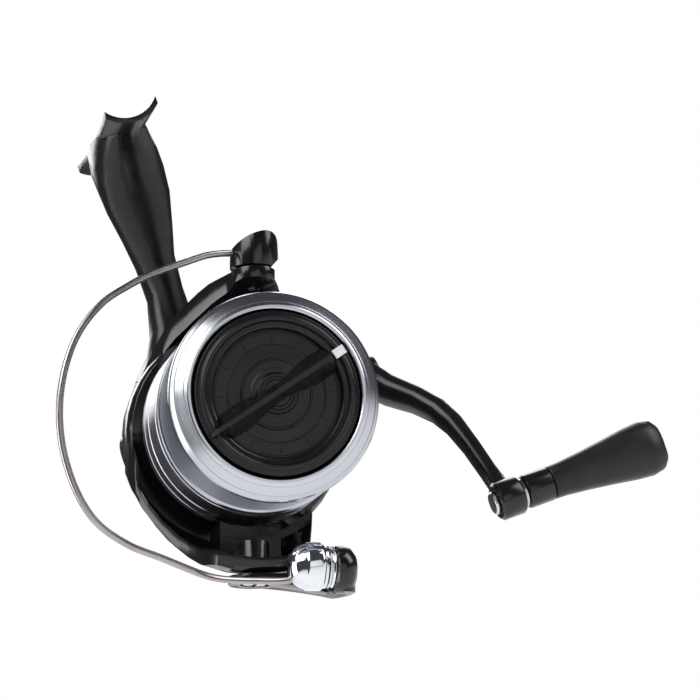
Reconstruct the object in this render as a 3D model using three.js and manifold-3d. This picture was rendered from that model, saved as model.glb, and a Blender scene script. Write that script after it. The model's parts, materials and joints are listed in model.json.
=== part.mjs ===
// Spinning reel, medium size, front drag.
// Design frame: the spool axis is the Y axis, the spool lip's front circle is at y = 0 and the reel
// faces -Y. +X is the handle side and +Z points to the rod foot. The exported group moves that frame
// so that the origin is the middle of the rod seat, on top of the foot. Millimetres throughout.
import * as THREE from "three";
import { mergeVertices } from "three/addons/utils/BufferGeometryUtils.js";
import Module from "manifold-3d";

const wasm = await Module();
wasm.setup();

// Driving dimensions -------------------------------------------------------------------------
const GAP = 0.3; // running gap between neighbours
const FINE = 32; // sides of a large turned part
const SMALL = 16; // sides of a small turned part

const LIP_R = 25; // spool lip, outer radius
const SKIRT_R = 24.6; // spool skirt, outer radius
const SKIRT_BACK = 40.6; // rear edge of the skirt
const ARBOR_R = 17.8; // line drum of the spool
const CHAMBER_R = 15.9; // drag chamber
const MAIN_SHAFT_R = 2; // main shaft

const KNOB_R = 19.6; // drag knob disc
const BAR_LEAN = THREE.MathUtils.degToRad(13.9); // turn of the grip bar in the rest position
const BAR_HALF = 19.3; // half the length of the grip bar

const ARM_LEAN = THREE.MathUtils.degToRad(21); // turn of the rotor in the rest position
const PIVOT_Y = 25; // bail pivots
const ARM_R = 35.8; // outside of the upper rotor arm at its pivot
const LOWER_ARM_R = 38.6; // outside of the lower rotor arm at its pivot
const ROTOR_BACK = 57; // rear edge of the rotor
const SWEEP_R = 26.2; // room inside the rotor for the skirt

const DRIVE_Y = 83; // drive gear axis, parallel to X
const DRIVE_Z = 7;
const GEAR_TEETH = 36;
const PINION_TEETH = 7;
const MESH_LEVER = 20; // drive axis to the middle of the pinion's teeth
const OSC_DRIVER_TEETH = 12;
const OSC_TEETH = 24;
const CRANK_R = 6; // eccentric pin: half the spool's stroke

const CASE_Y = 83.2; // centre of the gear case
const CASE_Z = 6.5;
const CASE_R = 25.4;
const CASE_DROP = 31; // the case reaches this far below its centre
const CASE_LEFT = -11;
const CASE_RIGHT = 18.5;

const HANDLE_R = 59.5; // drive axis to knob axis
const HANDLE_DROP = THREE.MathUtils.degToRad(49.1); // arm below the horizontal, towards the front

const SEAT_Y = 57.6; // rod seat: middle of the foot
const SEAT_Z = 79.8; // rod seat: flat strip along the saddle
const FOOT_FRONT = 26.8; // reach of the foot in front of the seat's middle
const FOOT_BACK = 23; // and behind it
const FOOT_HALF_WIDTH = 6.7;
const SADDLE_R = 8.3; // the rod's own radius

const BLACK = 0x0b0b0d;
const DARK = 0x1d1d20;
const SILVER = 0xc9ccd2;
const STEEL = 0x9fa2a8;
const BRASS = 0xb59a54;

// Solids ---------------------------------------------------------------------------------------
function solidOf(geometry) {
  const loose = geometry.index ? geometry.toNonIndexed() : geometry;
  const bare = new THREE.BufferGeometry().setAttribute("position", loose.getAttribute("position"));
  const merged = mergeVertices(bare, 1e-4);
  const corners = merged.index.array;
  const kept = [];
  for (let i = 0; i < corners.length; i += 3) {
    const [a, b, c] = [corners[i], corners[i + 1], corners[i + 2]];
    if (a !== b && b !== c && c !== a) {
      kept.push(a, b, c);
    }
  }
  const vertProperties = merged.attributes.position.array;
  const made = (order) => {
    const triVerts = new Uint32Array(order);
    return new wasm.Manifold(new wasm.Mesh({ numProp: 3, vertProperties, triVerts }));
  };
  const solid = made(kept);
  return solid.volume() < 0 ? made(kept.reverse()) : solid;
}

function geometryOf(solid) {
  const mesh = solid.getMesh();
  const geometry = new THREE.BufferGeometry();
  geometry.setAttribute("position", new THREE.BufferAttribute(new Float32Array(mesh.vertProperties), 3));
  geometry.setIndex(new THREE.BufferAttribute(new Uint32Array(mesh.triVerts), 1));
  geometry.computeVertexNormals();
  return geometry;
}

function join(first, ...others) {
  return geometryOf(others.reduce((sum, other) => sum.add(solidOf(other)), solidOf(first)));
}

function cut(body, ...tools) {
  return geometryOf(tools.reduce((rest, tool) => rest.subtract(solidOf(tool)), solidOf(body)));
}

function common(a, b) {
  return geometryOf(solidOf(a).intersect(solidOf(b)));
}

// A turned solid about the Y axis, from a list of [radius, y].
function turned(profile, sides = FINE) {
  return new THREE.LatheGeometry(profile.map(([r, y]) => new THREE.Vector2(r, y)), sides);
}

function rod(radius, from, to, sides = SMALL) {
  return turned([[0, from], [radius, from], [radius, to], [0, to]], sides);
}

function ring(inner, outer, from, to, sides = SMALL) {
  return turned([[inner, from], [outer, from], [outer, to], [inner, to], [inner, from]], sides);
}

// The same solid turned to lie along X, or along Z.
function alongX(geometry) {
  return geometry.rotateZ(-Math.PI / 2);
}

function alongZ(geometry) {
  return geometry.rotateX(Math.PI / 2);
}

function block(x0, x1, y0, y1, z0, z1) {
  const made = new THREE.BoxGeometry(x1 - x0, y1 - y0, z1 - z0);
  return made.translate((x0 + x1) / 2, (y0 + y1) / 2, (z0 + z1) / 2);
}

// A shape drawn in (y, z), extruded along X from one place to another.
function slabX(shape, from, to, options = {}) {
  const made = new THREE.ExtrudeGeometry(shape, { bevelEnabled: false, depth: to - from, ...options });
  const axes = [new THREE.Vector3(0, 1, 0), new THREE.Vector3(0, 0, 1), new THREE.Vector3(1, 0, 0)];
  made.applyMatrix4(new THREE.Matrix4().makeBasis(...axes));
  return made.translate(from, 0, 0);
}

// A shape drawn in (x, y), extruded along Z.
function slabZ(shape, from, to, options = {}) {
  const made = new THREE.ExtrudeGeometry(shape, { bevelEnabled: false, depth: to - from, ...options });
  return made.translate(0, 0, from);
}

// A shape drawn in (x, z), extruded along Y.
function slabY(shape, from, to) {
  const made = new THREE.ExtrudeGeometry(shape, { bevelEnabled: false, depth: to - from, curveSegments: 7 });
  return made.rotateX(Math.PI / 2).translate(0, to, 0);
}

// A round bar along a curve.
function tube(curve, radius, steps, sides = 8) {
  const section = new THREE.Shape();
  for (let i = 0; i < sides; i += 1) {
    const angle = (2 * Math.PI * i) / sides;
    const place = [radius * Math.cos(angle), radius * Math.sin(angle)];
    if (i === 0) {
      section.moveTo(...place);
    } else {
      section.lineTo(...place);
    }
  }
  return new THREE.ExtrudeGeometry(section, { extrudePath: curve, steps, bevelEnabled: false });
}

function helix(radius, wire, from, to, turns) {
  class Helix extends THREE.Curve {
    getPoint(t, target = new THREE.Vector3()) {
      const angle = 2 * Math.PI * turns * t;
      return target.set(radius * Math.cos(angle), from + (to - from) * t, radius * Math.sin(angle));
    }
  }
  return tube(new Helix(), wire, Math.round(turns * 9), 5);
}

// A closed body through rings of equal point counts, with flat ends.
function lofted(rings) {
  const count = rings[0].length;
  const corners = rings.flat();
  const faces = [];
  for (let level = 0; level + 1 < rings.length; level += 1) {
    for (let i = 0; i < count; i += 1) {
      const next = (i + 1) % count;
      const [a, b] = [level * count + i, level * count + next];
      faces.push(a, b, b + count, a, b + count, a + count);
    }
  }
  const last = (rings.length - 1) * count;
  for (let i = 1; i + 1 < count; i += 1) {
    faces.push(0, i + 1, i);
    faces.push(last, last + i, last + i + 1);
  }
  const made = new THREE.BufferGeometry().setFromPoints(corners);
  made.setIndex(faces);
  return made;
}

// A rounded section at height z: a superellipse with half sizes hx and hy.
function ovalRing(z, x, y, hx, hy) {
  const points = [];
  const [sides, power] = [16, 0.9];
  for (let i = 0; i < sides; i += 1) {
    const angle = (2 * Math.PI * i) / sides;
    const [c, s] = [Math.cos(angle), Math.sin(angle)];
    const px = hx * Math.sign(c) * Math.abs(c) ** power;
    const py = hy * Math.sign(s) * Math.abs(s) ** power;
    points.push(new THREE.Vector3(x + px, y + py, z));
  }
  return points;
}

function part(name, geometry, color, roughness, metalness) {
  const material = new THREE.MeshStandardMaterial({ color, roughness, metalness });
  const mesh = new THREE.Mesh(geometryOf(solidOf(geometry)), material);
  mesh.name = name;
  return mesh;
}

function placed(mesh, x, y, z) {
  mesh.position.set(x, y, z);
  return mesh;
}

// A pan-head screw along Y: the head's top is at y = 0 and the shank points to +Y.
function screw(name, headR, headH, shankR, length) {
  const profile = [[0, 0], [headR * 0.8, 0], [headR, headH * 0.4], [headR, headH], [shankR, headH],
    [shankR, length], [0, length]];
  const slot = block(-headR * 0.14, headR * 0.14, -1, headH * 0.5, -headR, headR);
  return part(name, cut(turned(profile, 12), slot), STEEL, 0.3, 1);
}

// A gear about the Y axis with straight-sided teeth; the first tooth is at the angle given.
function toothed(teeth, rootR, tipR, rootHalf, tipHalf, firstAt, bore, from, to) {
  const shape = new THREE.Shape();
  for (let i = 0; i < teeth; i += 1) {
    const middle = firstAt + (2 * Math.PI * i) / teeth;
    const corners = [[rootR, -rootHalf], [tipR, -tipHalf], [tipR, tipHalf], [rootR, rootHalf]];
    corners.forEach(([radius, half], corner) => {
      const angle = middle + half / radius;
      const place = [radius * Math.cos(angle), radius * Math.sin(angle)];
      if (i === 0 && corner === 0) {
        shape.moveTo(...place);
      } else {
        shape.lineTo(...place);
      }
    });
  }
  return cut(slabY(shape, from, to), rod(bore, from - 1, to + 1));
}

// Frame ----------------------------------------------------------------------------------------
// The outline of the gear case at one place along X, drawn in by taper and made thinner by wall.
function caseRing(x, taper, wall) {
  const points = [];
  const sides = 28;
  for (let i = 0; i < sides; i += 1) {
    const angle = (2 * Math.PI * i) / sides;
    const reach = Math.sin(angle) < 0 ? CASE_DROP - 0.04 * taper ** 2 : CASE_R - taper;
    const y = CASE_Y + (CASE_R - 0.55 * taper - wall) * Math.cos(angle);
    points.push(new THREE.Vector3(x, y, CASE_Z + (reach - wall) * Math.sin(angle)));
  }
  return points;
}

// The whole case: its left side slopes in to the face of the side cover.
function caseSolid(wall) {
  const stations = [[COVER_FACE, 16], [-16, 13], [-13.8, 10.4], [CASE_LEFT, 6.9], [-9, 4.5], [-7, 2.3], [-4.5, 0.5],
    [-2, 0], [CASE_RIGHT - 5.5, 0], [CASE_RIGHT - 1.6, 1.6], [CASE_RIGHT, 5.5]];
  return lofted(stations.map(([x, taper]) => caseRing(x, taper, wall)));
}

// The room inside the case.
function caseRoom() {
  const stations = [[COVER_FACE + 2.4, 15.4], [-12, 8.8], [-8.8, 3.7], [-4.5, 1], [-1.5, 0],
    [CASE_RIGHT - 4.6, 0], [CASE_RIGHT - 2.6, 2]];
  return lofted(stations.map(([x, taper]) => caseRing(x, taper, 2.3)));
}

// The saddle of the foot, along Y: everything inside it is room for the rod.
function saddle(radius) {
  return rod(radius, 0, 120, 40).translate(0, 0, SEAT_Z + SADDLE_R);
}

function stem() {
  const rings = [
    ovalRing(16, 0, 82.0, 11.0, 16.0),
    ovalRing(27, 0.2, 79.0, 8.6, 12.0),
    ovalRing(34, 0.7, 75.0, 5.8, 8.6),
    ovalRing(42, 1, 70.4, 4.7, 6.8),
    ovalRing(50, 0.6, 66.4, 5.2, 5.9),
    ovalRing(57, 0.6, 63.0, 6.8, 5.7),
    ovalRing(65, 0.6, 60.4, 8.6, 6.4),
    ovalRing(71, 0.5, 58.9, 8.9, 8.8),
    ovalRing(75.5, 0.3, 58.2, 8.5, 13.0),
    ovalRing(79, 0.1, 57.4, 7.4, 17.6),
    ovalRing(83, 0, 57.2, 6.6, 18.4),
  ];
  return cut(lofted(rings), saddle(SADDLE_R + 0.7));
}

// The foot: a saddle-shaped strip with thin, rising ends and a flat strip along its top.
function foot() {
  const half = Math.asin(FOOT_HALF_WIDTH / SADDLE_R);
  const [front, back] = [SEAT_Y - FOOT_FRONT, SEAT_Y + FOOT_BACK];
  const section = new THREE.Shape();
  section.absarc(0, SEAT_Z + SADDLE_R, SADDLE_R, -Math.PI / 2 - half, -Math.PI / 2 + half, false);
  section.absarc(0, SEAT_Z + SADDLE_R, SADDLE_R + 1.3, -Math.PI / 2 + half * 0.92, -Math.PI / 2 - half * 0.92, true);
  const bar = slabY(section, front, back);
  const plan = new THREE.Shape();
  plan.moveTo(-FOOT_HALF_WIDTH, front);
  plan.lineTo(FOOT_HALF_WIDTH, front);
  plan.quadraticCurveTo(FOOT_HALF_WIDTH - 1.6, SEAT_Y + 4, FOOT_HALF_WIDTH - 0.5, back);
  plan.lineTo(0.5 - FOOT_HALF_WIDTH, back);
  plan.quadraticCurveTo(1.6 - FOOT_HALF_WIDTH, SEAT_Y + 4, -FOOT_HALF_WIDTH, front);
  const fill = block(-2.2, 2.2, front + 1, back - 1, SEAT_Z - 1.2, SEAT_Z + 0.001);
  return join(common(bar, slabZ(plan, 60, 100, { curveSegments: 8 })), fill);
}

// The flat strip along the middle of the foot, cleared of material.
function seatStrip() {
  return block(-2.2, 2.2, SEAT_Y - FOOT_FRONT + 1, SEAT_Y + FOOT_BACK - 1, SEAT_Z, SEAT_Z + 8);
}

const NECK_R = 16;
const NECK_FRONT = 38;
const BEARING_R = 10.5; // pinion bearing, outside
const DRIVE_SHAFT_R = 3.4;
const DRIVE_BEARING_R = 6.5;
const HUB_END = 25.4; // right-hand hub of the case, outer face
const COVER_FACE = -17.4; // side cover, outer face
const COVER_SEAT = -13.2; // seats of the side cover's screws
const RAIL_Z = -8.5; // guide rod of the slider
const COVER_SCREWS = [128, 40, -115].map((degrees) => {
  const angle = THREE.MathUtils.degToRad(degrees);
  const reach = Math.sin(angle) < 0 ? CASE_DROP - 6.4 : CASE_R - 10.4;
  return [CASE_Y + (CASE_R - 7.6) * Math.cos(angle), CASE_Z + reach * Math.sin(angle)];
});
const OSC_Y = DRIVE_Y + 4.5; // oscillation gear axis
const OSC_Z = DRIVE_Z - 14.8;

function driveAxis(geometry) {
  return alongX(geometry).translate(0, DRIVE_Y, DRIVE_Z);
}

function coverPosts(radius, from, to) {
  return COVER_SCREWS.map(([y, z]) => alongX(rod(radius, from, to, 12)).translate(0, y, z));
}

function reelBody() {
  const shell = common(caseSolid(0), block(CASE_LEFT, CASE_RIGHT, 40, 120, -40, 50));
  const flange = turned([[0, 58.2], [24.2, 58.2], [25.0, 59.0], [25.0, 63], [0, 63]]);
  const neck = rod(NECK_R, NECK_FRONT, 62, 32);
  const hub = driveAxis(turned([[0, 8], [10.2, 8], [9.6, 24.6], [9.0, HUB_END], [0, HUB_END]], 28));
  const neckBore = turned([[0, NECK_FRONT - 1], [13.4, NECK_FRONT - 1], [13.4, 48.6], [BEARING_R + GAP, 48.6],
    [BEARING_R + GAP, 54.2], [6.2, 54.2], [6.2, 66], [0, 66]], 24);
  const driveBore = driveAxis(turned([[0, 5], [4.6, 5], [4.6, 19.6], [DRIVE_BEARING_R + GAP, 19.6],
    [DRIVE_BEARING_R + GAP, 27], [0, 27]], 20));
  const hollow = cut(join(shell, flange, neck, hub, stem(), foot()), caseRoom(), neckBore, seatStrip());
  const posts = coverPosts(2.8, CASE_LEFT + 0.01, CASE_LEFT + 7).map((post) => common(post, shell));
  const rail = rod(1.5, 60, 104.8, 12).translate(0, 0, RAIL_Z);
  const arch = driveAxis(ring(16.2, 22.6, 3.7, 9, 32));
  const bracket = cut(block(-5.4, 5.2, 69.4, 72, -30, 4.9), arch);
  const web = common(bracket, caseSolid(1));
  const bushHole = rod(3.7, 60, 74, 16);
  const fitted = join(hollow, ...posts, web);
  return cut(fitted, driveBore, rail, bushHole, ...coverPosts(1.3, CASE_LEFT - 1, CASE_LEFT + 5.6));
}

function sideCover() {
  const dome = caseSolid(0);
  const outer = common(dome, block(COVER_FACE, CASE_LEFT - GAP, 40, 130, -40, 50));
  const hub = driveAxis(turned([[0, -18.3], [7.6, -18.3], [8.2, -17.8], [9.4, -13], [0, -13]], 28));
  const bore = driveAxis(turned([[0, -23], [4.6, -23], [4.6, -17.4], [DRIVE_BEARING_R + GAP, -17.4],
    [DRIVE_BEARING_R + GAP, -10], [0, -10]], 20));
  const posts = coverPosts(2.8, COVER_FACE + 1, CASE_LEFT - GAP).map((post) => common(post, dome));
  const stud = alongX(rod(3.4, COVER_FACE + 1, -12.4, 12)).translate(0, OSC_Y, OSC_Z);
  const clear = rod(25.4, 50, 63.3, 32);
  const studHole = alongX(rod(1.9, -15, -11, 12)).translate(0, OSC_Y, OSC_Z);
  const seats = coverPosts(2.9, COVER_FACE - 4, COVER_SEAT);
  const holes = coverPosts(1.5, COVER_FACE - 4, CASE_LEFT + 1);
  const shell = join(cut(outer, caseRoom()), hub, ...posts, stud);
  return cut(shell, clear, bore, studHole, ...seats, ...holes);
}

function rearCover() {
  const outline = new THREE.Shape();
  const [reach, low, high] = [CASE_R + 1.6, -150, -42];
  outline.absarc(CASE_Y, CASE_Z, reach, THREE.MathUtils.degToRad(low + 100), THREE.MathUtils.degToRad(30), false);
  outline.absarc(CASE_Y, CASE_Z, CASE_R + 0.35, THREE.MathUtils.degToRad(30),
    THREE.MathUtils.degToRad(high - 8), true);
  return cut(slabX(outline, -4, 9, { curveSegments: 14 }), caseSolid(-0.35));
}

function bearing(inner, outer, from, to) {
  const groove = 0.5;
  const wall = (outer - inner) * 0.22;
  return turned([[inner, from], [inner + wall, from], [inner + wall, from + groove], [outer - wall, from + groove],
    [outer - wall, from], [outer, from], [outer, to], [outer - wall, to], [outer - wall, to - groove],
    [inner + wall, to - groove], [inner + wall, to], [inner, to], [inner, from]], 18);
}

function addFrame(group) {
  group.add(part("reel_body", reelBody(), BLACK, 0.3, 0));
  group.add(part("side_cover", sideCover(), BLACK, 0.3, 0));
  group.add(part("rear_cover", rearCover(), DARK, 0.4, 0));
  COVER_SCREWS.forEach(([y, z], i) => {
    const made = screw(`side_cover_screw_${i + 1}`, 2.4, 1.3, 1.05, 8.6);
    made.rotation.z = -Math.PI / 2;
    group.add(placed(made, COVER_SEAT - 1.3, y, z));
  });
  for (const [name, from, to] of [["drive_bearing_right", 19.9, 24.6], ["drive_bearing_left", -17.1, -12.6]]) {
    const made = part(name, bearing(DRIVE_SHAFT_R + 0.15, DRIVE_BEARING_R, from, to), STEEL, 0.25, 1);
    made.rotation.z = -Math.PI / 2;
    group.add(placed(made, 0, DRIVE_Y, DRIVE_Z));
  }
  group.add(part("pinion_bearing", bearing(4.3, BEARING_R, 49.3, 53.9), STEEL, 0.25, 1));
  group.add(part("anti_reverse_clutch", ring(7.6, 13.1, 39.6, 48.2, 28), STEEL, 0.3, 1));
  group.add(part("pinion_rear_bush", ring(2.95, 3.5, 69.4, 72, 16), BRASS, 0.35, 1));
  group.add(part("slider_guide_rod", rod(1.2, 60.4, 104.4, 12).translate(0, 0, RAIL_Z), STEEL, 0.2, 1));
  const post = alongX(turned([[0, -14.6], [1.6, -14.6], [1.6, -5.6], [0, -5.6]], 12));
  group.add(placed(part("oscillation_gear_post", post, STEEL, 0.25, 1), 0, OSC_Y, OSC_Z));
}

// Drive train and handle -------------------------------------------------------------------------
const FACE_X = 4.2; // face of the drive gear's teeth
const SHAFT_BORE = DRIVE_SHAFT_R + 0.15;
const MESH_Y = DRIVE_Y - MESH_LEVER;
const OSC_ANGLE = Math.atan2(OSC_Z - DRIVE_Z, OSC_Y - DRIVE_Y);

// Drawn about the drive axis, lying along X.
function driveGear() {
  const disc = turned([[SHAFT_BORE, FACE_X + 1.6], [6, FACE_X + 1.6], [16.6, FACE_X + 2], [17.2, FACE_X],
    [21.9, FACE_X], [21.9, 7.4], [18.5, 8.2], [6.4, 8.2], [6.4, 12], [SHAFT_BORE, 12],
    [SHAFT_BORE, FACE_X + 1.6]], 36);
  const grooves = [];
  for (let i = 0; i < GEAR_TEETH; i += 1) {
    const space = new THREE.Shape();
    space.moveTo(FACE_X - 0.5, -DRIVE_Z - 1.35);
    space.lineTo(FACE_X - 0.5, -DRIVE_Z + 1.35);
    space.lineTo(FACE_X + 1.2, -DRIVE_Z + 0.75);
    space.lineTo(FACE_X + 1.2, -DRIVE_Z - 0.75);
    grooves.push(slabY(space, -24, -14).rotateX((2 * Math.PI * i) / GEAR_TEETH));
  }
  return cut(alongX(disc), ...grooves);
}

function handleRing(rho, x, slope, thick, wide) {
  const points = [];
  const sides = 16;
  for (let i = 0; i < sides; i += 1) {
    const angle = (2 * Math.PI * i) / sides;
    const [c, s] = [Math.cos(angle), Math.sin(angle)];
    const across = thick * Math.sign(c) * Math.abs(c) ** 0.8;
    points.push(new THREE.Vector3(
      x + across * Math.cos(slope), -rho - across * Math.sin(slope), wide * Math.sign(s) * Math.abs(s) ** 0.8));
  }
  return points;
}

// Drawn with the drive axis as X and the arm pointing to -Y.
function handleArm() {
  const arm = lofted([
    handleRing(1, 46.6, -0.55, 3.4, 5.2),
    handleRing(8, 49.6, -0.58, 3.2, 4.4),
    handleRing(15, 54.2, -0.5, 2.9, 3.8),
    handleRing(21.5, 57.2, -0.3, 2.8, 3.4),
    handleRing(28, 58.4, -0.08, 2.6, 3.1),
    handleRing(38, 58.6, 0, 2.3, 2.8),
    handleRing(48, 58.3, 0, 2.2, 2.7),
    handleRing(56, 58.2, 0, 2.4, 3.0),
  ]);
  const hub = alongX(turned([[0, 26.2], [4.9, 26.2], [5.1, 37], [5.4, 40.4], [5.4, 46], [4.8, 49.6], [0, 50.4]], 24));
  const boss = alongX(turned([[0, 55], [4.2, 55], [4.9, 55.7], [4.9, 60.9], [4.4, 61.6], [0, 61.6]], 20));
  const pinHole = alongX(rod(1.8, 50, 64, 14));
  const socket = alongX(rod(2.2, 20, 38, 6));
  return cut(join(arm, hub, boss.translate(0, -HANDLE_R, 0)), pinHole.translate(0, -HANDLE_R, 0), socket);
}

function addHandle(reel) {
  const handle = new THREE.Group();
  handle.position.set(0, DRIVE_Y, DRIVE_Z);
  const gearTurn = new THREE.Group();
  gearTurn.add(part("drive_gear", driveGear(), STEEL, 0.35, 1));
  const shaft = alongX(ring(2.3, DRIVE_SHAFT_R, -18.2, 25.0, 20));
  gearTurn.add(part("drive_shaft", shaft, STEEL, 0.3, 1));
  const driver = toothed(OSC_DRIVER_TEETH, 4.2, 5.7, 0.85, 0.34, Math.PI - OSC_ANGLE, SHAFT_BORE, -9.2, -5.4);
  gearTurn.add(part("oscillation_drive_gear", alongX(driver), BRASS, 0.35, 1));
  handle.add(gearTurn);

  const crank = new THREE.Group();
  crank.rotation.x = HANDLE_DROP;
  crank.add(part("handle_arm", handleArm(), BLACK, 0.22, 0));
  crank.add(part("handle_rod", alongX(rod(1.9, -19.7, 37.6, 6)), STEEL, 0.3, 1));
  const cap = cut(turned([[0, -20.6], [4.6, -20.5], [5.5, -20], [5.7, -19.2], [5.7, -18.6], [0, -18.6]], 24),
    rod(2.2, -20, -18, 6));
  crank.add(part("handle_cap", alongX(cap), BLACK, 0.3, 0));
  const pin = alongX(turned([[0, 53.9], [2.6, 53.9], [3, 54.4], [3, 54.7], [1.5, 54.7], [1.5, 96], [0, 96]], 18));
  crank.add(placed(part("knob_shaft", pin, STEEL, 0.25, 1), 0, -HANDLE_R, 0));
  handle.add(crank);

  const knob = new THREE.Group();
  knob.position.set(0, -HANDLE_R, 0);
  knob.rotation.x = -HANDLE_DROP;
  knob.add(part("knob_washer", alongX(ring(1.7, 3.7, 61.9, 62.5, 20)), STEEL, 0.25, 1));
  const collar = turned([[0, 62.8], [3.9, 62.8], [4.3, 63.3], [4.3, 69.6], [0, 69.6]], 24);
  knob.add(part("knob_collar", alongX(cut(collar, rod(1.8, 60, 72))), BLACK, 0.3, 0));
  const stations = [[70, 4.2, 4.2], [73, 4.3, 4.3], [79, 4.8, 4.9], [86, 5.2, 5.8], [92, 5.6, 6.7],
    [96.5, 5.6, 7.1], [99.5, 4.9, 6.5], [101, 3.2, 4.8]];
  const rings = stations.map(([x, thick, wide]) => handleRing(0, x, Math.PI / 2, thick, wide)
    .map((point) => new THREE.Vector3(x, point.y, point.z)));
  const grip = cut(lofted(rings), alongX(rod(1.8, 60, 96.6)));
  knob.add(part("knob_grip", grip, DARK, 0.6, 0));
  crank.add(knob);
  reel.add(handle);

  const swing = new THREE.Group();
  swing.position.set(0, OSC_Y, OSC_Z);
  const step = (2 * Math.PI) / OSC_TEETH;
  const wheel = toothed(OSC_TEETH, 9.2, 10.75, 0.85, 0.36, -OSC_ANGLE + step / 2, 1.85, -9.2, -5.4);
  const crankPin = rod(1.4, -5.8, -3.1, 12).translate(0, 0, -CRANK_R);
  swing.add(part("oscillation_gear", join(alongX(wheel), alongX(crankPin)), DARK, 0.5, 0));
  reel.add(swing);
}

// Rotor ------------------------------------------------------------------------------------------
// Drawn with its arms along Z; the group turns it to its rest position.
const COVER_SCREW_Y = 47;
const UPPER_HEAD_AT = 30.5; // distance of the cover screws' heads from the spool axis
const LOWER_HEAD_AT = 30;

// An arm seen along Z, through points given from the back, round the front and to the back again.
function armOutline(points) {
  const shape = new THREE.Shape();
  shape.moveTo(...points[0]);
  shape.splineThru(points.slice(1).map(([x, y]) => new THREE.Vector2(x, y)));
  return shape;
}

// The turned outside of an arm.
function armEnvelope(pivotR, shrink) {
  const falls = pivotR === ARM_R ? [[35.3, 33], [33.8, 38.5], [31.8, 44], [29.6, 49.5], [27.6, 54]]
    : [[37.2, 30], [35, 35], [32.7, 40], [30.6, 45], [29.2, 50], [28.2, 54]];
  const profile = [[0, 10], [pivotR, 10], [pivotR, PIVOT_Y], ...falls, [26.8, ROTOR_BACK], [0, ROTOR_BACK]];
  return turned(profile.map(([r, y]) => [r > 0 ? r - shrink : 0, y]), 36);
}

// The cover of an arm: a plate that follows the arm's outside, from y = 33 to y = 50.
function armPocket(pivotR, grow, depth) {
  const outline = new THREE.Shape();
  const half = 3.6 + grow;
  outline.moveTo(-half, 33 - grow);
  outline.lineTo(half, 33 - grow);
  outline.quadraticCurveTo(half + 1, 42, half + 3, 50 + grow);
  outline.lineTo(-half - 3, 50 + grow);
  outline.quadraticCurveTo(-half - 1, 42, -half, 33 - grow);
  const column = slabZ(outline, 20, 45, { curveSegments: 4 });
  return cut(column, armEnvelope(pivotR, depth));
}

function upperArm() {
  const outline = armOutline([[-22.6, ROTOR_BACK - 0.4], [-20, 50], [-17.2, 44], [-14.2, 40], [-11, 35], [-8.4, 30.5],
    [-5.8, 26.4], [-5.2, 22.5], [-3.4, 19.8], [0, 18.9], [3, 19.8], [4.6, 22.5], [5, 27], [7, 32], [9, 37],
    [12, 44], [15.2, 51], [19, ROTOR_BACK - 0.4]]);
  const inside = turned([[0, 5], [33.2, 5], [33, 20], [30.6, 30], [28.2, 39], [26.6, 46.6], [0, 46.6]], 40);
  const whole = common(slabZ(outline, 2, 44, { curveSegments: 2 }), armEnvelope(ARM_R, 0));
  return cut(whole, inside);
}

// A wide shell, open to the front, with the housing of the bail's spring in it.
function lowerArm() {
  const outline = armOutline([[-26, ROTOR_BACK - 0.4], [-27, 50.5], [-25.4, 45], [-22.4, 41], [-18.9, 36],
    [-15.6, 31], [-12.5, 25], [-10.4, 20], [-8.6, 19], [0, 19.2], [8.6, 19], [10.8, 20.5], [13.4, 27], [15.2, 33.5],
    [16.9, 40], [18.6, 46.5], [21, ROTOR_BACK - 0.4]]);
  const whole = common(slabZ(outline, -44, -1, { curveSegments: 2 }), armEnvelope(LOWER_ARM_R, 0));
  const chamfer = block(-6, 14, -3.2, 3.2, -2, 2).rotateX(-Math.PI / 4).translate(0, 18, -LOWER_ARM_R - 0.4);
  const recess = turned([[0, 5], [35.4, 5], [35, 26], [32.6, 34], [30, 41], [28.4, 45], [0, 45]], 36);
  const sweep = rod(SWEEP_R, 5, 46.6, 36);
  const housing = common(block(-7.4, 7.4, 29.4, 47, -37, -24), armEnvelope(LOWER_ARM_R, 1));
  const boss = alongZ(rod(3.6, 30.6, 37, 16)).rotateY(Math.PI).translate(0, PIVOT_Y, 0);
  const rib = block(9.6, 11.2, 24, 47, -34, -28);
  const bridge = block(-2, 2, PIVOT_Y, 32, -37, -31.4);
  return cut(join(cut(whole, chamfer, recess), housing, boss, bridge, common(rib, whole)), sweep);
}

function rotor() {
  const bell = turned([[4.5, 30.2], [20.6, 30.2], [21.4, 31], [21.4, 45.6], [22.4, 46.6], [26, 46.6],
    [26.8, 47.6], [27.1, 50], [27.1, 54], [26.8, ROTOR_BACK], [19.4, ROTOR_BACK], [19.4, 34], [18.6, 33.2],
    [4.5, 33.2], [4.5, 30.2]], 40);
  const under = turned([[0, 44], [19.4, 44], [24, 50.5], [24.8, 58], [0, 58]], 36);
  const shell = join(cut(upperArm(), under), cut(lowerArm(), under), bell);
  const pivot = alongZ(rod(1.8, 20, 44, 12)).translate(0, PIVOT_Y, 0);
  const pivots = [pivot, pivot.clone().rotateY(Math.PI)];
  const bays = [armPocket(ARM_R, 0, 2.2), armPocket(LOWER_ARM_R, 0, 2.2).rotateY(Math.PI)];
  const tap = alongZ(rod(1.1, 26, 40, 10)).translate(0, COVER_SCREW_Y, 0);
  const taps = [tap, tap.clone().rotateY(Math.PI)];
  const well = common(block(-2.6, 2.6, 30.6, 39.2, -40, -27.2), armEnvelope(LOWER_ARM_R, 1.5));
  const weightWell = block(21, 25.2, 50.6, 60, -3, 3);
  return cut(shell, ...pivots, ...bays, ...taps, well, weightWell);
}

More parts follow.
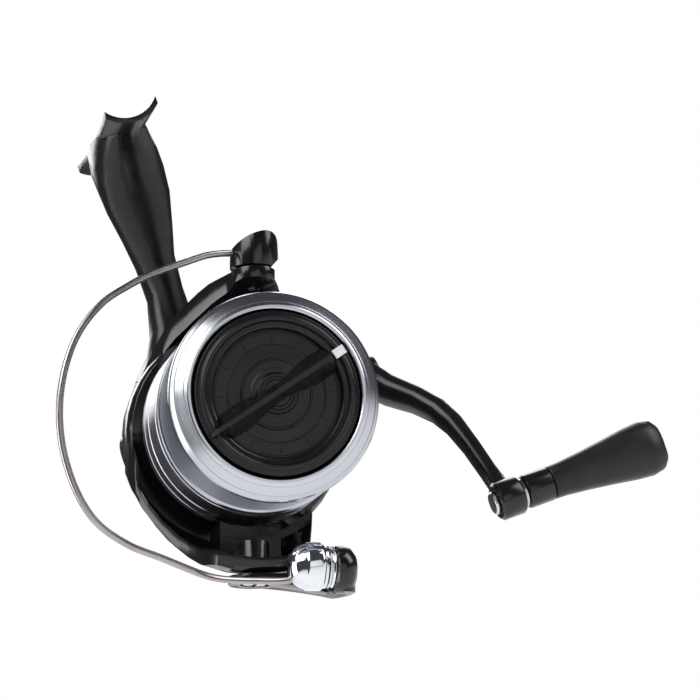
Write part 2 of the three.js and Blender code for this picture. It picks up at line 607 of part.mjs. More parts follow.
function armCover(pivotR, headAt) {
  const plate = cut(common(armPocket(pivotR, -GAP, 1.9), armEnvelope(pivotR, 0.1)), block(-50, 50, 0, 100, -50, 5));
  const seatAt = headAt - 0.9;
  const seat = alongZ(turned([[0, 20], [1.2, 20], [1.2, seatAt], [2.2, seatAt], [2.2, 50], [0, 50]], 12));
  return cut(plate, seat.translate(0, COVER_SCREW_Y, 0));
}

function bailHolder() {
  const outline = new THREE.Shape();
  outline.absellipse(-0.1, PIVOT_Y, 5.8, 6.4, 0, 2 * Math.PI, false);
  const side = new THREE.Shape();
  side.moveTo(-5.9, ARM_R + GAP);
  side.lineTo(-5.9, 40.4);
  side.quadraticCurveTo(-4.4, 42.4, -1.4, 43.6);
  side.quadraticCurveTo(3.6, 45.7, 5, 43);
  side.lineTo(5.8, 38.8);
  side.lineTo(3.4, ARM_R + GAP);
  const body = common(slabZ(outline, ARM_R, 48, { curveSegments: 14 }), slabY(side, 15, 35));
  const screwSeat = alongZ(turned([[0, 35], [2, 35], [2, 42], [3.4, 42], [3.4, 48], [0, 48]], 16));
  return cut(body, screwSeat.translate(0, PIVOT_Y, 0), tube(bailPath(), 1.15, 50, 6));
}

const ROLLER_Y = 8; // roller axis, parallel to X in the rotor's own frame
const ROLLER_Z = -38.7;

// The wire: from the holder, round the front of the spool, to the cover of the line roller.
function bailPath() {
  const points = [[-4, 23.8, 39.6], [-7.6, 22.7, 39.2], [-10.2, 21.9, 38.7], [-13.3, 21.0, 37.8], [-16.6, 20, 36.3],
    [-21.7, 18.5, 34], [-27.4, 16.8, 31.3], [-32.4, 15.3, 28.2], [-38.6, 13.4, 23.5], [-44.1, 11.8, 16.3],
    [-47.2, 10.8, 8.8], [-48.9, 10.3, -0.9], [-48.4, 10.5, -10.3], [-46.2, 11.2, -18.3], [-42.8, 12.2, -25.1],
    [-38.7, 13.4, -29.7], [-31.3, 15.6, -33.8], [-23.8, 17.9, -36], [-16.3, 19.9, -38.4], [-12.8, 19.3, -39.7],
    [-9.5, 17.6, -40.7], [-5.3, 15, -41.3], [0, 12, -41.7], [4, 9.6, -41.9], [7.4, 8.3, -41.4]];
  return new THREE.CatmullRomCurve3(points.map((point) => new THREE.Vector3(...point)));
}

function bailLever() {
  const outline = new THREE.Shape();
  outline.absarc(0, PIVOT_Y, 6.2, Math.PI * 0.5, Math.PI * 1.45, false);
  outline.quadraticCurveTo(7, 17.6, 12, 15.4);
  outline.lineTo(15.4, 14);
  outline.lineTo(15.4, ROLLER_Y);
  outline.absarc(18, ROLLER_Y, 2.6, Math.PI, 2 * Math.PI, false);
  outline.quadraticCurveTo(20.6, 16, 15.4, 20.6);
  outline.quadraticCurveTo(9, 27.6, 0, PIVOT_Y + 6.2);
  const side = new THREE.Shape();
  side.moveTo(-9, LOWER_ARM_R + GAP);
  side.lineTo(21, LOWER_ARM_R + GAP);
  side.lineTo(21, 44.6);
  side.lineTo(17.4, 44.6);
  side.quadraticCurveTo(11, 42, 2.6, 40.9);
  side.lineTo(-9, 40.9);
  const plate = common(slabZ(outline, -46, -LOWER_ARM_R, { curveSegments: 6 }), slabY(side, 0, 40).scale(1, 1, -1));
  const cap = alongX(turned([[0, 15.3], [5, 15.3], [5.6, 15.9], [5.7, 17.4], [5.1, 19.2], [3.6, 20.4], [0, 20.9]], 20));
  const seat = alongZ(turned([[0, 36], [2, 36], [2, 39.9], [3.5, 39.9], [3.5, 48], [0, 48]], 16)).rotateY(Math.PI);
  const bearingSeat = alongX(turned([[0, 14], [3.6, 14], [3.6, 17.2], [1.7, 17.2], [1.7, 19.2], [0, 19.2]]));
  const joined = join(plate, cap.translate(0, ROLLER_Y, ROLLER_Z - 0.6));
  return cut(joined, seat.translate(0, PIVOT_Y, 0), bearingSeat.translate(0, ROLLER_Y, ROLLER_Z));
}

// The polished cover between the wire and the line roller, about the roller's axis.
function rollerCover() {
  const ball = turned([[0, 4.4], [2.4, 4.6], [4.4, 6.2], [5.4, 8.4], [5.7, 10.4], [5.5, 12], [5, 13.2], [4.7, 13.6],
    [0, 13.6]], 28);
  const around = alongX(ball).translate(0, ROLLER_Y, ROLLER_Z);
  return cut(around, alongX(rod(1.7, 9, 15)).translate(0, ROLLER_Y, ROLLER_Z), tube(bailPath(), 1.15, 50, 6));
}

function addRotor(reel) {
  const spin = new THREE.Group();
  spin.rotation.y = ARM_LEAN;
  spin.add(part("rotor", rotor(), BLACK, 0.18, 0));
  spin.add(part("bail_arm_cover_top", armCover(ARM_R, UPPER_HEAD_AT), BLACK, 0.2, 0));
  spin.add(part("bail_arm_cover_bottom", armCover(LOWER_ARM_R, LOWER_HEAD_AT).rotateY(Math.PI), BLACK, 0.2, 0));
  const nutHex = cut(rod(7.4, 25.4, 29.9, 6), rod(4.4, 20, 35, 20));
  spin.add(part("rotor_nut", nutHex, STEEL, 0.3, 1));
  const hexLock = turned([[7.8, 28.9], [10.6, 28.9], [10.6, 29.9], [7.8, 29.9], [7.8, 28.9]], 24);
  spin.add(part("rotor_nut_lock", hexLock, STEEL, 0.3, 1));
  const barrel = cut(turned([[0, 27], [4.1, 27], [4.1, 57.6], [3.2, 58.4], [2.65, 65], [2.65, 71.8], [0, 71.8]], 24),
    rod(2.25, 20, 80, 20));
  const teeth = toothed(PINION_TEETH, 3.0, 4.85, 0.85, 0.45, 0, 2.25, MESH_Y - 2.4, MESH_Y + 2.4);
  reel.add(part("pinion_gear", join(barrel, teeth), BRASS, 0.35, 1));
  reel.add(part("clutch_sleeve", ring(4.4, 7.3, 39.2, 48.4, 24), STEEL, 0.3, 1));
  const weight = block(21.3, 24.9, 51, 56.6, -2.7, 2.7);
  spin.add(part("balance_weight", weight, STEEL, 0.5, 1));
  const spring = helix(1.5, 0.3, 31.6, 38.2, 5).translate(0, 0, -29.2);
  spin.add(part("bail_spring", spring, STEEL, 0.3, 1));
  spin.add(part("bail_spring_guide", rod(0.8, 31, 38.8, 10).translate(0, 0, -29.2), STEEL, 0.3, 1));
  for (const [name, turn] of [["bail_pivot_screw_top", 0], ["bail_pivot_screw_bottom", Math.PI]]) {
    const made = screw(name, 3.1, 1, 1.6, turn === 0 ? 10.2 : 9.6);
    made.rotation.set(-Math.PI / 2, turn, 0, "YXZ");
    spin.add(placed(made, 0, PIVOT_Y, turn === 0 ? 43 : -40.9));
  }
  for (const [name, turn] of [["arm_cover_screw_top", 0], ["arm_cover_screw_bottom", Math.PI]]) {
    const made = screw(name, 1.9, 0.9, 0.9, 3.4);
    made.rotation.set(-Math.PI / 2, turn, 0, "YXZ");
    spin.add(placed(made, 0, COVER_SCREW_Y, turn === 0 ? UPPER_HEAD_AT : -LOWER_HEAD_AT));
  }

  spin.add(part("bail_holder", bailHolder(), BLACK, 0.25, 0));
  spin.add(part("bail_wire", tube(bailPath(), 0.85, 50, 8), STEEL, 0.2, 1));
  spin.add(part("bail_lever", bailLever(), BLACK, 0.2, 0));
  spin.add(part("roller_cover", rollerCover(), SILVER, 0.08, 1));
  const rollerScrew = alongX(rod(1.4, 9.4, 18.8)).translate(0, ROLLER_Y, ROLLER_Z);
  spin.add(part("roller_screw", rollerScrew, STEEL, 0.2, 1));
  const groove = turned([[1.8, 13.9], [4.7, 13.9], [4, 14.4], [3.7, 14.9], [3.3, 15.3], [3.3, 16.9], [1.8, 16.9],
    [1.8, 13.9]], 24);
  spin.add(part("line_roller", alongX(groove).translate(0, ROLLER_Y, ROLLER_Z), SILVER, 0.1, 1));
  reel.add(spin);
}

// Spool, drag and main shaft -----------------------------------------------------------------------
function spool() {
  return turned([
    [2.3, 8.6], [CHAMBER_R, 8.6], [CHAMBER_R, 2.2], [18.6, 1.4], [20, 0.4], [20, -1.6], [20.5, -2.7], [21, -2.7],
    [23.9, -0.2], [24.7, 0.4], [LIP_R, 1.2], [LIP_R, 2.2], [24.2, 3.1], [19.6, 5.0], [ARBOR_R, 6.2],
    [ARBOR_R, 17.2], [19.4, 18.5], [24.2, 19.0], [SKIRT_R, 19.6], [SKIRT_R, SKIRT_BACK - 0.4],
    [24.2, SKIRT_BACK], [23.4, SKIRT_BACK], [23.4, 20.6], [15.6, 20.4],
    [15.6, 12.2], [5.2, 12.2], [5.2, 17.0], [2.3, 17.0], [2.3, 8.6],
  ], 36);
}

function dragKnob() {
  const disc = turned([
    [0, -3.4], [3.0, -3.4], [3.4, -2.6], [4.8, -2.6], [5.1, -2.0], [8.2, -2.0], [8.5, -1.5], [15.3, -1.5],
    [15.7, -2.9], [16.9, -3.2], [17.2, -3.9], [18.2, -3.9], [18.5, -3.3], [19.2, -3.1], [KNOB_R, -2.6],
    [KNOB_R, -0.4], [19.2, 0.1], [15.2, 1.2], [9.2, 1.2], [9.2, 3.4], [4.2, 3.4], [4.2, -0.2], [0, -0.2],
  ], 36);
  const side = new THREE.Shape();
  side.moveTo(-3.6, -1.0);
  side.lineTo(3.6, -1.0);
  side.lineTo(1.5, -6.6);
  side.lineTo(-1.5, -6.6);
  const bar = new THREE.ExtrudeGeometry(side, { depth: 2 * BAR_HALF, bevelEnabled: false });
  bar.translate(0, 0, -BAR_HALF).applyMatrix4(new THREE.Matrix4().makeBasis(
    new THREE.Vector3(0, 0, -1), new THREE.Vector3(0, 1, 0), new THREE.Vector3(1, 0, 0)));
  const ends = common(bar, turned([[0, -7], [17.6, -7], [BAR_HALF, -4.6], [BAR_HALF, -0.6], [0, -0.6]], 24));
  const inlay = block(15.2, 18.6, -8, -5.4, -2, 2);
  const springSeat = ring(4.9, 8.6, -0.2, 4, 24);
  return cut(join(disc, ends), inlay, springSeat);
}

function addSpool(reel) {
  const shaft = cut(turned([[0, 0.2], [1.7, 0.2], [MAIN_SHAFT_R, 0.6], [MAIN_SHAFT_R, 92.4], [0, 92.4]], 20),
    block(1.5, 3, 2, 8, -3, 3));
  reel.add(part("main_shaft", shaft, STEEL, 0.15, 1));
  const sliderBody = block(-2.6, 2.6, 86.5, 93, -15.0, 3.0);
  const slider = cut(sliderBody, rod(MAIN_SHAFT_R + 0.2, 80, 92.6), rod(1.5, 80, 100, 12).translate(0, 0, RAIL_Z),
    block(-4, -1.7, 88.0, 91.5, -14.4, -0.6), block(-4, 4, 96, 90, -18, -14.99));
  reel.add(part("slider_block", slider, DARK, 0.5, 0));
  reel.add(part("spool_click_wheel", toothed(24, 6.2, 7.0, 0.6, 0.3, 0, 2.2, 17.4, 18.6), BRASS, 0.4, 0.8));

  reel.add(part("spool", spool(), SILVER, 0.25, 1));
  const washers = [["drag_washer_rear", 7.5, 8.3, DARK], ["drag_disc_rear", 6.5, 7.2, STEEL],
    ["drag_washer_front", 5.4, 6.2, DARK], ["drag_disc_front", 4.4, 5.1, STEEL]];
  for (const [name, from, to, color] of washers) {
    reel.add(part(name, ring(2.4, 14.6, from, to, 20), color, 0.6, color === STEEL ? 1 : 0));
  }
  reel.add(part("drag_retaining_ring", ring(13.6, 15.6, 2.9, 3.6, 20), STEEL, 0.3, 1));
  const pawl = block(-1.6, 1.6, 12.5, 18.4, 7.6, 13.0);
  reel.add(part("spool_click_pawl", pawl, DARK, 0.5, 0));

  const grip = new THREE.Group();
  grip.rotation.y = -BAR_LEAN;
  grip.add(part("drag_knob", dragKnob(), BLACK, 0.35, 0));
  grip.add(part("drag_knob_inlay", block(15.5, 18.3, -6.9, -5.7, -1.1, 1.1), SILVER, 0.3, 1));
  const nut = cut(rod(3.9, 0.8, 2.8, 6), rod(2.3, 0, 4, 16));
  grip.add(part("drag_nut", nut, BRASS, 0.35, 1));
  grip.add(part("drag_spring", helix(6.7, 0.5, 0.5, 3.5, 3), STEEL, 0.3, 1));
  reel.add(grip);
}

const reel = new THREE.Group();
reel.position.set(0, -SEAT_Y, -SEAT_Z);
addFrame(reel);
addHandle(reel);
addRotor(reel);
addSpool(reel);

const object = new THREE.Group();
object.add(reel);
export default object;
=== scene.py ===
import json
import math

import bmesh
import bpy
from mathutils import Matrix, Vector


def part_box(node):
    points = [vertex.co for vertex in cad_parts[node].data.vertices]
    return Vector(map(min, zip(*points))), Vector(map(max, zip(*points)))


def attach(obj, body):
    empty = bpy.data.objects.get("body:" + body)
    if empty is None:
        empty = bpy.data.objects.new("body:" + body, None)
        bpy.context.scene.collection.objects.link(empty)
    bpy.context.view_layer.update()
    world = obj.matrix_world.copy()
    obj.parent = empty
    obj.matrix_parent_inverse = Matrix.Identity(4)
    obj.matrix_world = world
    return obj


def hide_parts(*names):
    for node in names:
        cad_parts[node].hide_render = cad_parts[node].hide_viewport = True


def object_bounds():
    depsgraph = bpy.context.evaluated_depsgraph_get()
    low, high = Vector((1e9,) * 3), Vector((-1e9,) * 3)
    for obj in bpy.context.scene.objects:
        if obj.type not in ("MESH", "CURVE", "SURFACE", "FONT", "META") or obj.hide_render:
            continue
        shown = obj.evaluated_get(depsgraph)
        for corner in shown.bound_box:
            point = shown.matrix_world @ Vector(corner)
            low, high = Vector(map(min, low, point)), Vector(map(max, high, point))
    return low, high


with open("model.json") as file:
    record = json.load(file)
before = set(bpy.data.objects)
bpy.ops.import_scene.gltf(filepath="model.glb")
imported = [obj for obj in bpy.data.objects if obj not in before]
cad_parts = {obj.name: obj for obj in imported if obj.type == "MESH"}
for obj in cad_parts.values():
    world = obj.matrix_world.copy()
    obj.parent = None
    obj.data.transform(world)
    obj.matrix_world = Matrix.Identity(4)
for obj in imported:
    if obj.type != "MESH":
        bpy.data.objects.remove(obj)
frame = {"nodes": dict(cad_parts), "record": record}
CAD_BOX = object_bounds()

MM = 0.001
# How far the spool's lip reaches in front of the circle that places are measured from, in mm.
LIP_REACH = 2.7
# The rotor's lean and the line roller's place are those of the CAD, in mm from the spool's centre.
ROTOR_LEAN = math.radians(21)
ROLLER_Y = 8
ROLLER_Z = -38.7
# The wire's radius in mm, and a reach in metres that spans one ring of its mesh but not the next.
WIRE_R = 0.85
RING_REACH = 2.1 * WIRE_R * MM
# Angles in degrees: edges sharper than these are kept crisp, or rounded.
SMOOTH_BELOW = 38
CRISP_BELOW = 9
ROUND_ABOVE = 42
# Distances in metres at which vertices are joined.
WELD = 2e-6
SAME = 1e-7
SAME_IN_CAD = 1e-6
SLOT_OF = {part["node"]: part["material_slot"] for part in frame["record"]["subparts"]}


def spool_axis():
    """The spool's centre line, at the front circle of its lip."""
    low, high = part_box("main_shaft")
    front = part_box("spool")[0].y + LIP_REACH * MM
    return Vector(((low.x + high.x) / 2, front, (low.z + high.z) / 2))


AXIS = spool_axis()


def middle_of(node):
    """The middle of a CAD node's box, measured from the spool's centre."""
    low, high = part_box(node)
    return (low + high) / 2 - AXIS


# Materials ------------------------------------------------------------------------------------------
# The textures' scales are per metre; the spread is the part of the noise that is used.
TONE_SCALE = 160
ROUGH_SCALE = 260
SPREAD = (0.3, 0.7)
TONE_STOPS = (0.32, 0.68)
BUMP_DEPTH = 0.0002
COAT_ROUGHNESS = 0.05


def texture_space(tree):
    """Texture places in the piece's own space."""
    return tree.nodes.new("ShaderNodeTexCoord").outputs["Object"]


def turned_space(tree):
    """Texture places that only change with the distance from the piece's Y axis and along it."""
    place = tree.nodes.new("ShaderNodeTexCoord")
    flat = tree.nodes.new("ShaderNodeVectorMath")
    flat.operation = "MULTIPLY"
    flat.inputs[1].default_value = (1, 0, 1)
    radius = tree.nodes.new("ShaderNodeVectorMath")
    radius.operation = "LENGTH"
    split = tree.nodes.new("ShaderNodeSeparateXYZ")
    joined = tree.nodes.new("ShaderNodeCombineXYZ")
    tree.links.new(place.outputs["Object"], flat.inputs[0])
    tree.links.new(flat.outputs["Vector"], radius.inputs[0])
    tree.links.new(place.outputs["Object"], split.inputs["Vector"])
    tree.links.new(radius.outputs["Value"], joined.inputs["X"])
    tree.links.new(split.outputs["Y"], joined.inputs["Y"])
    return joined.outputs["Vector"]


def noise(tree, vector, scale, detail=3.0):
    """Noise at that many ripples per metre."""
    made = tree.nodes.new("ShaderNodeTexNoise")
    made.inputs["Scale"].default_value = scale
    made.inputs["Detail"].default_value = detail
    tree.links.new(vector, made.inputs["Vector"])
    return made.outputs["Fac"]


def remap(tree, value, low, high):
    """A noise value stretched to run from low to high."""
    made = tree.nodes.new("ShaderNodeMapRange")
    made.inputs["From Min"].default_value = SPREAD[0]
    made.inputs["From Max"].default_value = SPREAD[1]
    made.inputs["To Min"].default_value = low
    made.inputs["To Max"].default_value = high
    tree.links.new(value, made.inputs["Value"])
    return made.outputs["Result"]


def two_tone(tree, value, first, second):
    """A colour that drifts between two tones with a noise value."""
    made = tree.nodes.new("ShaderNodeValToRGB")
    made.color_ramp.elements[0].position = TONE_STOPS[0]
    made.color_ramp.elements[0].color = (*first, 1)
    made.color_ramp.elements[1].position = TONE_STOPS[1]
    made.color_ramp.elements[1].color = (*second, 1)
    tree.links.new(value, made.inputs["Fac"])
    return made.outputs["Color"]


def finish_of(name, first, second, rough, metallic=0.0, grain=(400, 0.008), lathe=False, coat=0.0,
              specular=0.5):
    """A finish whose colour and roughness drift; grain is the scale and strength of its bump."""
    made = bpy.data.materials.new(name)
    made.use_nodes = True
    tree = made.node_tree
    shader = tree.nodes["Principled BSDF"]
    shader.inputs["Metallic"].default_value = metallic
    shader.inputs["Coat Weight"].default_value = coat
    shader.inputs["Coat Roughness"].default_value = COAT_ROUGHNESS
    shader.inputs["Specular IOR Level"].default_value = specular
    space = turned_space(tree) if lathe else texture_space(tree)
    tone = two_tone(tree, noise(tree, space, TONE_SCALE), first, second)
    tree.links.new(tone, shader.inputs["Base Color"])
    sheen = remap(tree, noise(tree, space, ROUGH_SCALE, 5.0), *rough)
    tree.links.new(sheen, shader.inputs["Roughness"])
    bump = tree.nodes.new("ShaderNodeBump")
    bump.inputs["Strength"].default_value = grain[1]
    bump.inputs["Distance"].default_value = BUMP_DEPTH
    tree.links.new(noise(tree, space, grain[0], 2.0), bump.inputs["Height"])
    tree.links.new(bump.outputs["Normal"], shader.inputs["Normal"])
    return made


# For each slot: two tones, the range of roughness, and what differs from a plain plastic.
RECIPES = {
    "body_black": ((0.004, 0.004, 0.005), (0.007, 0.007, 0.008), (0.24, 0.30), {"specular": 0.3}),
    "rotor_black": ((0.003, 0.003, 0.004), (0.005, 0.005, 0.006), (0.16, 0.21),
                    {"specular": 0.4, "coat": 0.1}),
    "cover_dark": ((0.006, 0.006, 0.007), (0.010, 0.010, 0.011), (0.28, 0.36), {}),
    "handle_black": ((0.004, 0.004, 0.005), (0.007, 0.007, 0.008), (0.20, 0.26), {"specular": 0.4}),
    "grip_dark": ((0.005, 0.005, 0.006), (0.009, 0.009, 0.010), (0.38, 0.46),
                  {"specular": 0.35, "grain": (2200, 0.08)}),
    "drag_black": ((0.004, 0.004, 0.005), (0.007, 0.007, 0.008), (0.24, 0.30),
                   {"specular": 0.3, "grain": (1400, 0.03)}),
    "spool_silver": ((0.40, 0.41, 0.45), (0.47, 0.48, 0.52), (0.20, 0.28),
                     {"metallic": 1, "grain": (2600, 0.04), "lathe": True}),
    "chrome": ((0.60, 0.62, 0.65), (0.66, 0.68, 0.71), (0.07, 0.11),
               {"metallic": 1, "grain": (300, 0.004)}),
    "steel": ((0.42, 0.42, 0.44), (0.52, 0.52, 0.54), (0.20, 0.30), {"metallic": 1}),
    "wire_steel": ((0.30, 0.275, 0.265), (0.36, 0.33, 0.32), (0.26, 0.34),
                   {"metallic": 1, "grain": (900, 0.006)}),
    "gear_metal": ((0.36, 0.36, 0.38), (0.46, 0.46, 0.48), (0.34, 0.46), {"metallic": 1}),
    "brass": ((0.52, 0.38, 0.15), (0.62, 0.46, 0.20), (0.22, 0.34), {"metallic": 1}),
    "felt": ((0.03, 0.03, 0.03), (0.06, 0.06, 0.06), (0.80, 0.95), {"grain": (5200, 0.6)}),
    "nylon": ((0.020, 0.020, 0.022), (0.030, 0.030, 0.032), (0.42, 0.52), {}),
}
FINISHES = {name: finish_of(name, *tones, **rest) for name, (*tones, rest) in RECIPES.items()}
INLAY = finish_of("inlay_silver", (0.62, 0.62, 0.63), (0.70, 0.70, 0.71), (0.3, 0.38), metallic=0.15)


# Shading of the CAD nodes ---------------------------------------------------------------------------
def smooth_group(degrees):
    """Shades faces smooth and keeps edges sharper than the angle crisp."""
    made = bpy.data.node_groups.new(f"smooth_{degrees}", "GeometryNodeTree")
    made.interface.new_socket("Geometry", in_out="INPUT", socket_type="NodeSocketGeometry")
    made.interface.new_socket("Geometry", in_out="OUTPUT", socket_type="NodeSocketGeometry")
    start = made.nodes.new("NodeGroupInput")
    end = made.nodes.new("NodeGroupOutput")
    faces = made.nodes.new("GeometryNodeSetShadeSmooth")
    edges = made.nodes.new("GeometryNodeSetShadeSmooth")
    edges.domain = "EDGE"
    edges.inputs["Shade Smooth"].default_value = False
    angle = made.nodes.new("GeometryNodeInputMeshEdgeAngle")
    sharper = made.nodes.new("FunctionNodeCompare")
    sharper.data_type = "FLOAT"
    sharper.operation = "GREATER_THAN"
    sharper.inputs[1].default_value = math.radians(degrees)
    link = made.links.new
    link(start.outputs[0], faces.inputs["Geometry"])
    link(faces.outputs["Geometry"], edges.inputs["Geometry"])
    link(angle.outputs["Unsigned Angle"], sharper.inputs[0])
    link(sharper.outputs["Result"], edges.inputs["Selection"])
    link(edges.outputs["Geometry"], end.inputs[0])
    return made


SMOOTH = smooth_group(SMOOTH_BELOW)
CRISP = smooth_group(CRISP_BELOW)


def soften(obj, edge=0.0, weld=True, shading=SMOOTH):
    """Joins a mesh's facets, rounds its edges by that many metres and shades it smooth."""
    if weld:
        obj.modifiers.new("weld", "WELD").merge_threshold = WELD
    if edge > 0:
        bevel = obj.modifiers.new("bevel", "BEVEL")
        bevel.width = edge
        bevel.segments = 2
        bevel.limit_method = "ANGLE"
        bevel.angle_limit = math.radians(ROUND_ABOVE)
    obj.modifiers.new("smooth", "NODES").node_group = shading


# How far the edges of the visible CAD nodes are rounded, in mm.
ROUNDED = {
    "reel_body": 0.3, "rotor": 0.25, "side_cover": 0.25, "rear_cover": 0.25, "handle_arm": 0.3,
    "bail_lever": 0.3, "bail_holder": 0.35, "bail_arm_cover_top": 0.15, "bail_arm_cover_bottom": 0.15,
    "knob_grip": 0.3, "handle_cap": 0.15, "knob_collar": 0.1, "knob_shaft": 0.15,
    "drag_knob_inlay": 0.12, "bail_pivot_screw_top": 0.1, "bail_pivot_screw_bottom": 0.1,
}
for name, node in frame["nodes"].items():
    node.data.materials.clear()
    node.data.materials.append(FINISHES[SLOT_OF[name]])
    soften(node, ROUNDED.get(name, 0) * MM)
frame["nodes"]["drag_knob_inlay"].data.materials[0] = INLAY


# Turned and bent pieces -----------------------------------------------------------------------------
def piece(name, vertices, faces, body, slot, node, edge=0.0, shading=SMOOTH):
    """A closed piece, its vertices measured from the spool's centre, that stands for a CAD node."""
    mesh = bpy.data.meshes.new(name)
    mesh.from_pydata(vertices, [], faces)
    solid = bmesh.new()
    solid.from_mesh(mesh)
    bmesh.ops.remove_doubles(solid, verts=solid.verts, dist=SAME)
    bmesh.ops.recalc_face_normals(solid, faces=solid.faces)
    solid.to_mesh(mesh)
    solid.free()
    made = bpy.data.objects.new(name, mesh)
    bpy.context.scene.collection.objects.link(made)
    made.location = AXIS
    mesh.materials.append(FINISHES[slot])
    soften(made, edge, weld=False, shading=shading)
    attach(made, body)
    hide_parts(node)


def turned(profile, sides=160):
    """Vertices and faces of a closed (radius, y) profile in mm, turned about Y."""
    vertices = []
    for radius, y in profile:
        for i in range(sides):
            angle = 2 * math.pi * i / sides
            vertices.append((radius * math.cos(angle) * MM, y * MM, radius * math.sin(angle) * MM))
    faces = []
    count = len(profile)
    for k in range(count):
        here, there = k * sides, (k + 1) % count * sides
        for i in range(sides):
            j = (i + 1) % sides
            faces.append((here + i, there + i, there + j, here + j))
    return vertices, faces


# The spool: a polished lip, the line drum, and a skirt with turned lines. Each point is a radius and a
# distance along the axis.
SPOOL = [
    (2.3, 8.6), (15.9, 8.6), (15.9, 2.2), (18.6, 1.4), (20.0, 0.4), (20.0, -1.6), (20.2, -2.5), (20.5, -2.7),
    (21.0, -2.7), (21.3, -2.55), (21.9, -2.0), (22.05, -2.0), (23.8, -0.4), (24.0, -0.35), (24.7, 0.4),
    (24.95, 0.9), (25.0, 1.3), (25.0, 2.2), (24.7, 2.7), (24.2, 3.1), (19.6, 5.0), (17.8, 6.2), (17.8, 17.2),
    (19.4, 18.5), (23.9, 18.95), (24.4, 19.15), (24.6, 19.6), (24.6, 21.4), (24.3, 21.7), (24.3, 22.0),
    (24.6, 22.3), (24.6, 31.0), (24.3, 31.3), (24.3, 31.6), (24.6, 31.9), (24.6, 36.4), (24.35, 36.6),
    (24.35, 36.9), (24.6, 37.1), (24.6, 40.0), (24.5, 40.4), (24.2, 40.6), (23.6, 40.6), (23.4, 40.4),
    (23.4, 20.6), (15.6, 20.4), (15.6, 12.2), (5.2, 12.2), (5.2, 17.0), (2.3, 17.0),
]
piece("spool_turned", *turned(SPOOL, sides=192), "spool_assembly", "spool_silver", "spool",
      edge=0.06 * MM, shading=CRISP)


def wire_path(points, steps):
    """A centripetal Catmull-Rom curve through the points."""
    ends = [points[0] * 2 - points[1], *points, points[-1] * 2 - points[-2]]
    made = []
    for a, b, c, d in zip(ends, ends[1:], ends[2:], ends[3:]):
        t1 = math.sqrt((b - a).length)
        t2 = t1 + math.sqrt((c - b).length)
        t3 = t2 + math.sqrt((d - c).length)
        for i in range(steps):
            t = t1 + (t2 - t1) * i / steps
            p = a.lerp(b, t / t1)
            q = b.lerp(c, (t - t1) / (t2 - t1))
            r = c.lerp(d, (t - t2) / (t3 - t2))
            made.append(p.lerp(q, t / t2).lerp(q.lerp(r, (t - t1) / (t3 - t1)), (t - t1) / (t2 - t1)))
    made.append(points[-1])
    return made


def in_rotor(x, y, z):
    """A point in mm in the rotor's own frame, whose arms stand along z, measured from the spool's centre."""
    c, s = math.cos(ROTOR_LEAN), math.sin(ROTOR_LEAN)
    return Vector((x * c + z * s, y, z * c - x * s)) * MM


def tube(path, radius, sides=20):
    """A round bar along a path, its sections turned no more than the path turns them."""
    count = len(path)
    side = (path[1] - path[0]).orthogonal().normalized()
    vertices = []
    for k, place in enumerate(path):
        ahead = (path[min(k + 1, count - 1)] - path[max(k - 1, 0)]).normalized()
        side = (side - ahead * side.dot(ahead)).normalized()
        other = ahead.cross(side)
        for i in range(sides):
            angle = 2 * math.pi * i / sides
            vertices.append(place + (side * math.cos(angle) + other * math.sin(angle)) * radius)
    faces = [tuple(reversed(range(sides))), tuple(range((count - 1) * sides, count * sides))]
    for k in range(count - 1):
        for i in range(sides):
            j = (i + 1) % sides
            faces.append((k * sides + i, k * sides + j, (k + 1) * sides + j, (k + 1) * sides + i))
    return vertices, faces


def rings_of(node, start):
    """The centres of the rings of a bar's mesh, one after another from the ring nearest start."""
    solid = bmesh.new()
    solid.from_mesh(frame["nodes"][node].data)
    bmesh.ops.remove_doubles(solid, verts=solid.verts, dist=SAME_IN_CAD)
    left = [vertex.co - AXIS for vertex in solid.verts]
    solid.free()
    centres = []
    centre = start
    while left:
        here = min(left, key=lambda place: (place - centre).length)
        ring = [place for place in left if (place - here).length < RING_REACH]
        left = [place for place in left if (place - here).length >= RING_REACH]
        centre = sum(ring, Vector()) / len(ring)
        centres.append(centre)
    return centres


# The wire follows the CAD node's own line, from the holder to the roller cover.
wire = wire_path(rings_of("bail_wire", middle_of("bail_holder")), steps=4)
piece("bail_wire_round", *tube(wire, WIRE_R * MM), "bail", "wire_steel", "bail_wire")


def about_roller(profile, sides=96):
    """Vertices and faces of a closed (radius, x) profile in mm, turned about the line roller's axis."""
    vertices, faces = turned(profile, sides)
    placed = [in_rotor(y / MM, ROLLER_Y + x / MM, ROLLER_Z + z / MM) for x, y, z in vertices]
    return placed, faces


# The line roller between its polished cover and the lever's cap.
COVER = [
    (0.0, 4.45), (1.4, 4.5), (2.6, 4.8), (3.6, 5.4), (4.4, 6.2), (5.0, 7.2), (5.35, 8.2), (5.42, 8.35),
    (5.6, 8.5), (5.7, 8.8), (5.7, 11.9), (5.62, 12.2), (5.2, 12.7), (5.1, 12.8), (5.1, 13.0), (5.0, 13.4),
    (4.8, 13.55), (1.7, 13.55), (1.7, 9.2), (0.0, 9.2),
]
ROLLER = [
    (1.8, 13.75), (4.7, 13.75), (4.95, 13.85), (4.95, 14.15), (4.7, 14.35), (4.6, 14.6), (4.7, 14.85),
    (4.9, 15.0), (4.9, 15.15), (4.6, 15.2), (3.4, 15.2), (3.4, 16.9), (1.8, 16.9),
]
piece("roller_cover_polished", *about_roller(COVER), "bail", "chrome", "roller_cover", edge=0.08 * MM)
piece("line_roller_polished", *about_roller(ROLLER), "roller", "chrome", "line_roller", edge=0.05 * MM)


